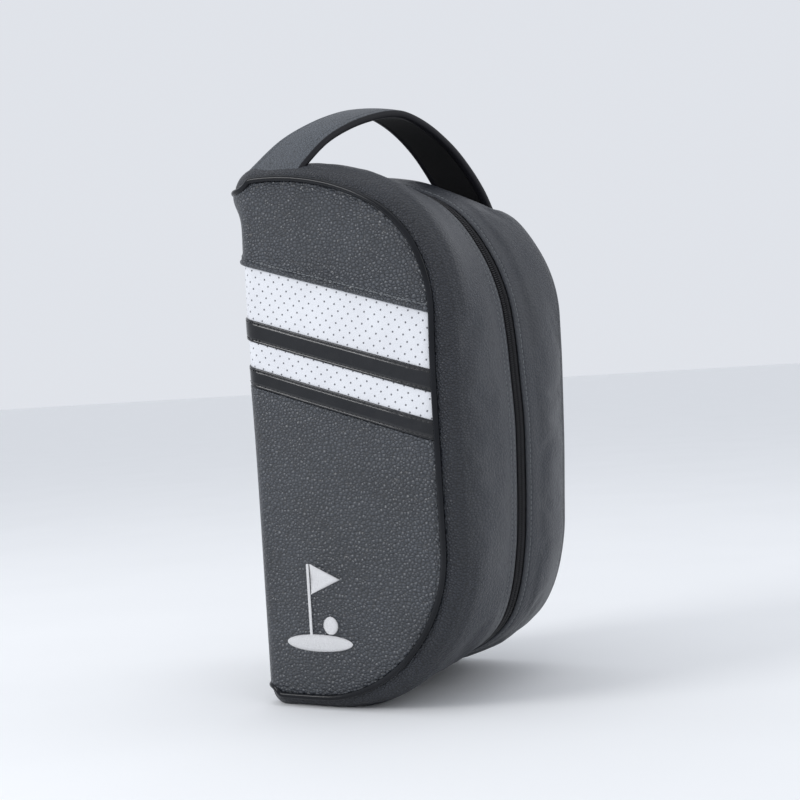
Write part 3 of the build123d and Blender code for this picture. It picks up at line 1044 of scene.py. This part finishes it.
def build_front_wrap(half, face, spine):
    """The leather round the front panel and the front half of the spine."""
    whole = np.concatenate([face, spine], 1)
    wrap = sheet("wrap", whole, LEATHER_FACE, 0, wrap_coords(face, spine), MERGE)
    cut_wrap(half, wrap, "front_panel", "_front")
    bpy.data.objects.remove(wrap)


def build_rear_wrap(half, face, spine):
    """The back panel, with its edge turned over the leather of the rear half of the spine."""
    back = np.concatenate([face, spine[:, :BACK_COLUMNS]], 1)
    normals = grid_normals(back)
    last = back.shape[1]
    over = BACK_OVERLAP * smooth(np.arange(last), last - 9, last - 4)
    back = back + normals * over[None, :, None]
    back_piece = sheet("back_panel_leather", back, LEATHER_FACE, merge=MERGE)
    finish_piece(back_piece, half.body, "black_leather", "back_panel", fill=0.5)
    strip = np.concatenate([face[:, -1:], spine], 1)[:, 3:]
    coords = [c[:, 3:] for c in wrap_coords(face[:, -1:], spine)]
    wrap = sheet("wrap", strip, LEATHER_FACE, 0, coords)
    cut_wrap(half, wrap, "rear_spine", "_spine")
    column = last - 3
    runs = stitch_run(back[8:-8, column] + normals[8:-8, column] * 0.1, normals[8:-8, column])
    finish_piece(thread("back_hem_stitches", runs, LIT_STITCH), half.body, "coil")
    bpy.data.objects.remove(wrap)


def build_piping(half, spine):
    """Piping in the seam over the curved run, its ends turned round the spine's edge."""
    path = half.at_depth(half.seam(), HALF + PIPING_PROUD)
    round_edge = spine[:, :PIPING_WRAP] + np.array([-0.6, 0, 0])
    path = np.concatenate([round_edge[1, ::-1], path[3:-3], round_edge[-2]])
    for _ in range(4):
        path[1:-1] = (path[:-2] + 2 * path[1:-1] + path[2:]) / 4
    piping = tube(f"piping_{half.name}_leather", path, PIPING_R, PIPING, 14)
    finish_piece(piping, half.body, "patent", f"piping_{half.name}")


def build_half(half):
    """All the soft pieces of one half of the case."""
    face = settled(half.face(), half.pressure, FACE_CAP)
    spine = half.spine()
    gusset = half.gusset()
    depths = half.across()[1]
    middle = slice(ROLL_COLUMNS - 2, int(np.sum(depths > HEM_START + 1)))
    gusset[:, middle] = settled(gusset[:, middle], half.pressure, GUSSET_CAP)
    gusset_piece = sheet(f"gusset_{half.name}_leather", gusset, SHADED_LEATHER_GUSSET)
    finish_piece(gusset_piece, half.body, "black_leather", f"gusset_{half.name}", fill=0.6)
    build_wrap = build_front_wrap if half.side < 0 else build_rear_wrap
    build_wrap(half, face, spine)
    build_piping(half, spine)

    normals = grid_normals(gusset)
    open_rows = np.where(ZIP_OPEN > 0.98)[0]
    runs = []
    for line in half.stitch_lines():
        column = int(np.argmin(abs(depths - line)))
        path = gusset[open_rows, column] + normals[open_rows, column] * STITCH_RISE
        runs += stitch_run(path, normals[open_rows, column])
    finish_piece(thread(f"zip_stitches_{half.name}", runs, LIT_STITCH), half.body, "coil")
    build_zip(half, open_rows)
    build_inside(half)


def build_zip(half, open_rows):
    """Tape, coil and inner binding of one side of the zip."""
    base = half.swell(ZIP_EDGE)
    tape = [half.place(base - TAPE_DEPTH + 0.35 * hump(d, 1.5, 1.6), d) for d in TAPE_COLUMNS]
    tape = np.stack(tape, 1)
    piece = sheet(f"zipper_tape_{half.name}_cloth", tape[open_rows], TAPE, TAPE_T)
    finish_piece(piece, half.body, "binding", f"zipper_tape_{half.name}")
    line = half.place(base - TAPE_DEPTH + COIL_LIFT, 0)[open_rows]
    outward = np.stack([RIM_N[open_rows, 0], np.zeros(len(open_rows)), RIM_N[open_rows, 1]], 1)
    centres, ups = resample(line, COIL_PITCH, outward)
    if half.side > 0:
        centres = centres[:-1] + np.diff(centres, axis=0) / 2
        ups = ups[:-1]
    along = np.gradient(centres, axis=0)
    along /= np.linalg.norm(along, axis=1)[:, None]
    across = np.array([0, half.side, 0])
    places = [(c + across * COIL_MIDDLE, across + COIL_SLANT * a, u)
              for c, a, u in zip(centres, along, ups)]
    piece = beads(f"zipper_coil_{half.name}_turns", places, COIL, COIL_R, COIL_TURN, 0.95)
    finish_piece(piece, half.body, "coil", f"zipper_coil_{half.name}")
    binding = [half.place(base - BINDING_IN - 0.5 * hump(d, 9.5, 3), d) for d in BINDING_COLUMNS]
    binding = np.stack(binding, 1)
    piece = sheet(f"seam_binding_{half.name}_cloth", binding[open_rows], TAPE, BINDING_T)
    finish_piece(piece, half.body, "binding", f"seam_binding_{half.name}")


def build_inside(half):
    """Foam, spine board and lining of one half."""
    panel = "front_panel_foam" if half.side < 0 else "back_panel_foam"
    pads = [
        (panel, "_pad", inner_face(half, FOAM_IN), "foam", 0.5),
        (f"gusset_foam_{half.name}", "_pad", inner_side(half, FOAM_IN, FOAM_END), "foam", 0.5),
        (f"spine_board_{half.name}", "_sheet", inner_spine(half, FOAM_IN), "board", None),
    ]
    for node, ending, grid, slot, fill in pads:
        finish_piece(sheet(node + ending, grid[::2], FOAM, FOAM_T), half.body, slot, node, fill=fill)
    node = f"lining_{half.name}"
    linings = {
        "face": inner_face(half, WALL),
        "gusset": inner_side(half, WALL, LINING_END),
        "spine": inner_spine(half, WALL),
    }
    for place, grid in linings.items():
        piece = sheet(f"lining_{place}_{half.name}", grid[::2], LINING, LINING_T)
        finish_piece(piece, half.body, "lining", node)


def bridge(piece, slot, start, end, *nodes):
    """A piece that spans from the front half to the rear half: its transform is baked into its mesh
    and the CAD nodes it stands for are hidden. The start and end are not used.
    """
    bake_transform(piece)
    if nodes:
        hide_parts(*nodes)


def build_hinge_tape():
    """Cloth tape glued inside the spine, over the line where the halves turn."""
    columns = np.linspace(-HINGE_TAPE_HALF, HINGE_TAPE_HALF, 25)
    heights = np.linspace(SPINE_CORNER_R + 3, HEIGHT - SPINE_CORNER_R - 3, 60)
    x = SPINE_X + HINGE_TAPE_IN
    grid = np.array([[(x, y, z) for y in columns] for z in heights])
    piece = sheet("hinge_tape", grid, TAPE, 0.4)
    start, end = ((x * MM, y * MM, HEIGHT / 2 * MM) for y in (-HINGE_BEND, HINGE_BEND))
    bridge(piece, "binding", start, end)


# ---------------------------------------------------------------- handle
STRAP_FRONT = (-51.0, -83.5)  # X and Y of the strap's feet
STRAP_REAR = (9.0, 85.5)
STRAP_WIDTH = 37.0
# Height of the strap's middle at shares of the way from its front foot to its rear foot
STRAP_RISE = [
    (0.0, 350), (0.012, 359), (0.05, 367.5), (0.16, 384.5), (0.29, 397), (0.42, 405), (0.52, 408),
    (0.6, 406), (0.7, 398), (0.8, 385), (0.88, 370), (0.95, 353), (1.0, 336),
]
STRAP_EDGE_R = 1.6
STRAP_CROWN = 0.9
STRAP_STITCH_IN = 2.6  # stitches, in from where the rolled edge starts
STRAP_TILT = 0.16
STRAP_CORE_IN = 3.2  # the core and the lining stop this far in from the strap's edge
STRAP_CLOTH_IN = 1.0
STRAP_WAIST = 0.1  # the strap narrows by this much where it bends most
EDGE_STRIPS = 8  # strips of the strap's section, at each edge, that are coloured near black as painted shade
STRAP_FLARE = 0.5  # its spine side widens by this much at the front foot


def through(knots, count):
    """A smooth curve through knots, by Catmull-Rom pieces."""
    knots = np.asarray(knots, float)
    padded = np.concatenate([[2 * knots[0] - knots[1]], knots, [2 * knots[-1] - knots[-2]]])
    places = np.linspace(0, len(knots) - 1 - 1e-9, count)
    k = places.astype(int)
    f = (places - k)[:, None]
    a, b, c, d = padded[k], padded[k + 1], padded[k + 2], padded[k + 3]
    bend = (2 * a - 5 * b + 4 * c - d) * f**2 + (3 * b - a - 3 * c + d) * f**3
    return 0.5 * (2 * b + (c - a) * f + bend)


def strap_section():
    """Across the strap: (width, height, inside) of the outer leather, edges rolled under."""
    half_width = STRAP_WIDTH / 2 - STRAP_EDGE_R
    top = np.linspace(-half_width, half_width, 33)
    height = 1.7 + STRAP_CROWN * (1 - (top / half_width) ** 2)
    height += groove(abs(top), half_width - STRAP_STITCH_IN, 0.4, 0.8)
    angles = np.linspace(pi / 2, -pi / 2, 8)[1:]
    edge = [(half_width + STRAP_EDGE_R * cos(a), 0.1 + STRAP_EDGE_R * sin(a)) for a in angles]
    right = edge + [(half_width - 1.5, -1.55), (half_width - 3.0, -1.5)]
    left = [(-w, h) for w, h in right][::-1]
    return np.array(left + list(zip(top, height)) + right)


def build_handle():
    """Strap, its core and its lining, sewn to both halves of the case."""
    knots = [(*(a + (b - a) * t for a, b in zip(STRAP_FRONT, STRAP_REAR)), z) for t, z in STRAP_RISE]
    path = through(knots, 150)
    progress = np.linspace(0, 1, len(path))
    tilt = STRAP_TILT * np.sin(pi * progress) ** 2
    wide = np.stack([np.cos(tilt), np.zeros(len(path)), -np.sin(tilt)], 1)
    tangent = np.gradient(path, axis=0)
    tangent /= np.linalg.norm(tangent, axis=1)[:, None]
    lift = np.cross(wide, tangent)
    lift /= np.linalg.norm(lift, axis=1)[:, None]

    waist = (1 - STRAP_WAIST * np.sin(pi * progress) ** 2)[:, None]
    flare = (STRAP_FLARE * (1 - smooth(progress, 0.05, 0.36)))[:, None]

    def along_strap(w, h):
        """The line that runs along the strap at w across it and h above its middle."""
        return path + wide * (w * waist + min(w, 0) * flare) + lift * h

    def swept(section):
        return np.stack([along_strap(w, h) for w, h in section], 1)

    def cover(name, section, material, thickness, slot, *nodes):
        grid = swept(section)
        piece = mesh_piece(name, grid.reshape(-1, 3), grid_faces(*grid.shape[:2], False), material)
        thicken(piece, thickness)
        bridge(piece, slot, *join, *nodes)
        return piece

    join = [tuple(c * MM for c in foot) for foot in (knots[0], knots[-1])]
    section = strap_section()
    nodes = ("handle_strap", "handle_tab")
    strap = cover("handle_strap_leather", section, LIT_LEATHER_STRAP, 1.1, "black_leather", *nodes)
    # Painted shade: the strap's edge strips get the near-black colour.
    strap.data.materials.append(DARK_STRAP_EDGE)
    strips = len(section) - 1
    for polygon in strap.data.polygons:
        from_edge = min(polygon.index % strips, strips - 1 - polygon.index % strips)
        polygon.material_index = int(from_edge < EDGE_STRIPS)
    inner = STRAP_WIDTH / 2 - STRAP_CORE_IN
    cloth_edge = STRAP_WIDTH / 2 - STRAP_CLOTH_IN
    lining_w = np.linspace(-cloth_edge, cloth_edge, 17)
    lining = np.array([(w, -2.0 - 0.15 * (1 - (w / inner) ** 2)) for w in lining_w])
    cover("handle_lining_web", lining, WEBBING, -0.5, "lining", "handle_lining")
    core = np.array([(inner * cos(a), 0.1 + 0.9 * sin(a)) for a in np.linspace(0, 2 * pi, 25)])
    cover("handle_core_pad", core, FOAM, 0.3, "foam", "handle_core")
    line = STRAP_WIDTH / 2 - STRAP_EDGE_R - STRAP_STITCH_IN
    h = 1.4 + STRAP_CROWN * (1 - (line / (line + STRAP_STITCH_IN)) ** 2)
    runs = []
    for w in (-line, line):
        runs += stitch_run(along_strap(w, h)[4:-4], lift[4:-4])
    stitches = thread("handle_stitches", runs, LIT_STITCH)
    bridge(stitches, "coil", *join)


# ---------------------------------------------------------------- emblem
# Places in the emblem are U, to the right, and V, up, from its middle
EMBLEM_X = -33.0
EMBLEM_Z = 70.0
THREAD_STEP = 0.46
THREAD_R = 0.32
POLE_U = (-7.2, -4.8)
POLE_V = (-20, 28)
FLAG_V = (8, 28)
FLAG_TIP = 20
FLAG_TAPER = 2.36
BALL_U = 10
BALL_V = -13
BALL_R = 6
MOUND_V = -25
MOUND_HALF = 26.5
MOUND_RISE = 6


def leather_depth(tree, x, z):
    """Y of the leather's face at a place on the front panel, in millimetres."""
    hit = tree.ray_cast(Vector((x * MM, -2 * HALF * MM, z * MM)), Vector((0, 1, 0)))[0]
    return hit.y / MM if hit else -HALF


def build_emblem(front):
    """A satin-stitched flag, pole, ball and mound, thread by thread."""
    rows = []

    def fill(low, high, edges):
        """Level threads between low and high, where edges(v) gives their ends."""
        for v in np.arange(low, high, THREAD_STEP):
            start, end = edges(v)
            if end - start > 0.5:
                rows.append((v, start, end, False))

    def pole(v):
        return POLE_U

    def ball(v):
        reach = sqrt(max(BALL_R**2 - (v - BALL_V) ** 2, 0))
        return BALL_U - reach, BALL_U + reach

    def flag(v):
        return POLE_U[1] + 0.5, FLAG_TIP - abs(v - sum(FLAG_V) / 2) * FLAG_TAPER

    fill(*POLE_V, pole)
    fill(*FLAG_V, flag)
    fill(BALL_V - BALL_R, BALL_V + BALL_R, ball)
    for u in np.arange(-MOUND_HALF, MOUND_HALF, THREAD_STEP):
        reach = MOUND_RISE * sqrt(max(1 - (u / MOUND_HALF) ** 2, 0))
        if reach > 0.3:
            rows.append((u, MOUND_V - reach, MOUND_V + reach, True))
    panel = bpy.data.objects["front_panel_lower_leather"]
    tree = BVHTree.FromObject(panel, bpy.context.evaluated_depsgraph_get())
    shape, shape_faces = capsule(THREAD_R, 1.0, 8)
    points = []
    faces = []
    for v, start, end, upright in rows:
        begin = len(points)
        puff = min((end - start) / 12, 1)
        for along, across, height in shape:
            line = (start + end) / 2 + along * (end - start)
            x, z = (v + across, line) if upright else (line, v + across)
            x, z = EMBLEM_X + x, EMBLEM_Z + z
            rise = 0.35 + 0.45 * puff * (1 - (2 * along) ** 2) + height * 1.2
            points.append((x, leather_depth(tree, x, z) - rise, z))
        faces += [tuple(begin + k for k in f) for f in shape_faces]
    piece = mesh_piece("emblem_threads", points, faces, WHITE_THREAD)
    finish_piece(piece, front.body, "embroidery", "emblem")


# ---------------------------------------------------------------- build
front_half = Half("front", -1, pillow=1.4, crown=1.6, pressure=3.0)
rear_half = Half("rear", 1, pillow=2.2, crown=2.6, pressure=4.0)
build_half(front_half)
build_half(rear_half)
build_hinge_tape()
build_handle()
build_emblem(front_half)

for node in ("slider_body", "pull_tab", "zipper_stops"):
    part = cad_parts[node]
    part.data.materials.clear()
    part.data.materials.append(METAL)


# ---------------------------------------------------------------- stage, light and camera
def paper(name, color, rough):
    """Plain paper, very slightly uneven."""
    m = Nodes(name, color, rough)
    m.color(m.ramp(m.noise(6), 0.3, 0.7, color, tuple(c * 0.985 for c in color)))
    return m.material


def area_light(name, place, aim, size, power):
    """A soft square light aimed at a point."""
    light = bpy.data.lights.new(name, "AREA")
    light.size = size
    light.energy = power
    lamp = add_object(name, light)
    lamp.location = place
    lamp.rotation_euler = (Vector(aim) - Vector(place)).to_track_quat("-Z", "Y").to_euler()


FLOOR_HALF = 40  # metres
floor_mesh = bpy.data.meshes.new("floor")
corners = [(x * FLOOR_HALF, y * FLOOR_HALF, 0) for x, y in ((-1, -1), (1, -1), (1, 1), (-1, 1))]
floor_mesh.from_pydata(corners, [], [(0, 1, 2, 3)])
floor_mesh.materials.append(paper("floor_paper", (0.90, 0.91, 0.92), 0.8))
floor = add_object("floor", floor_mesh)

world = bpy.data.worlds.new("studio")
world.use_nodes = True
sky = world.node_tree.nodes["Background"].inputs
sky["Color"].default_value = (0.91, 0.94, 1.0, 1)
sky["Strength"].default_value = 0.82
bpy.context.scene.world = world
middle = (0, 0, 0.19)
area_light("key", (-1.0, -1.5, 1.2), (0, 0, 0.3), 0.8, 15)
area_light("side", (1.5, 0.9, 1.0), middle, 0.8, 3)
area_light("top", (0.1, -0.2, 1.9), middle, 1.2, 3)
bpy.context.scene.view_settings.view_transform = "Standard"

# The camera looks along azimuth 31, a little downwards, and leans a few degrees
AZIMUTH = radians(31.0)
ELEVATION = radians(1.9)
LEAN = radians(3.5)
CAMERA_AT = (0.5075, -0.8796, 0.2175)
LENS = 64.5
back = Vector((sin(AZIMUTH) * cos(ELEVATION), -cos(AZIMUTH) * cos(ELEVATION), sin(ELEVATION)))
right = Vector((cos(AZIMUTH), sin(AZIMUTH), 0))
up = back.cross(right)
camera_right = right * cos(LEAN) - up * sin(LEAN)
camera_up = right * sin(LEAN) + up * cos(LEAN)
camera_data = bpy.data.cameras.new("camera")
camera_data.lens = LENS
camera_data.shift_x = 0.0103
camera_data.shift_y = 0.0351
camera = add_object("camera", camera_data)
turned = Matrix((camera_right, camera_up, back)).transposed().to_4x4()
turned.translation = Vector(CAMERA_AT)
camera.matrix_world = turned
bpy.context.scene.camera = camera
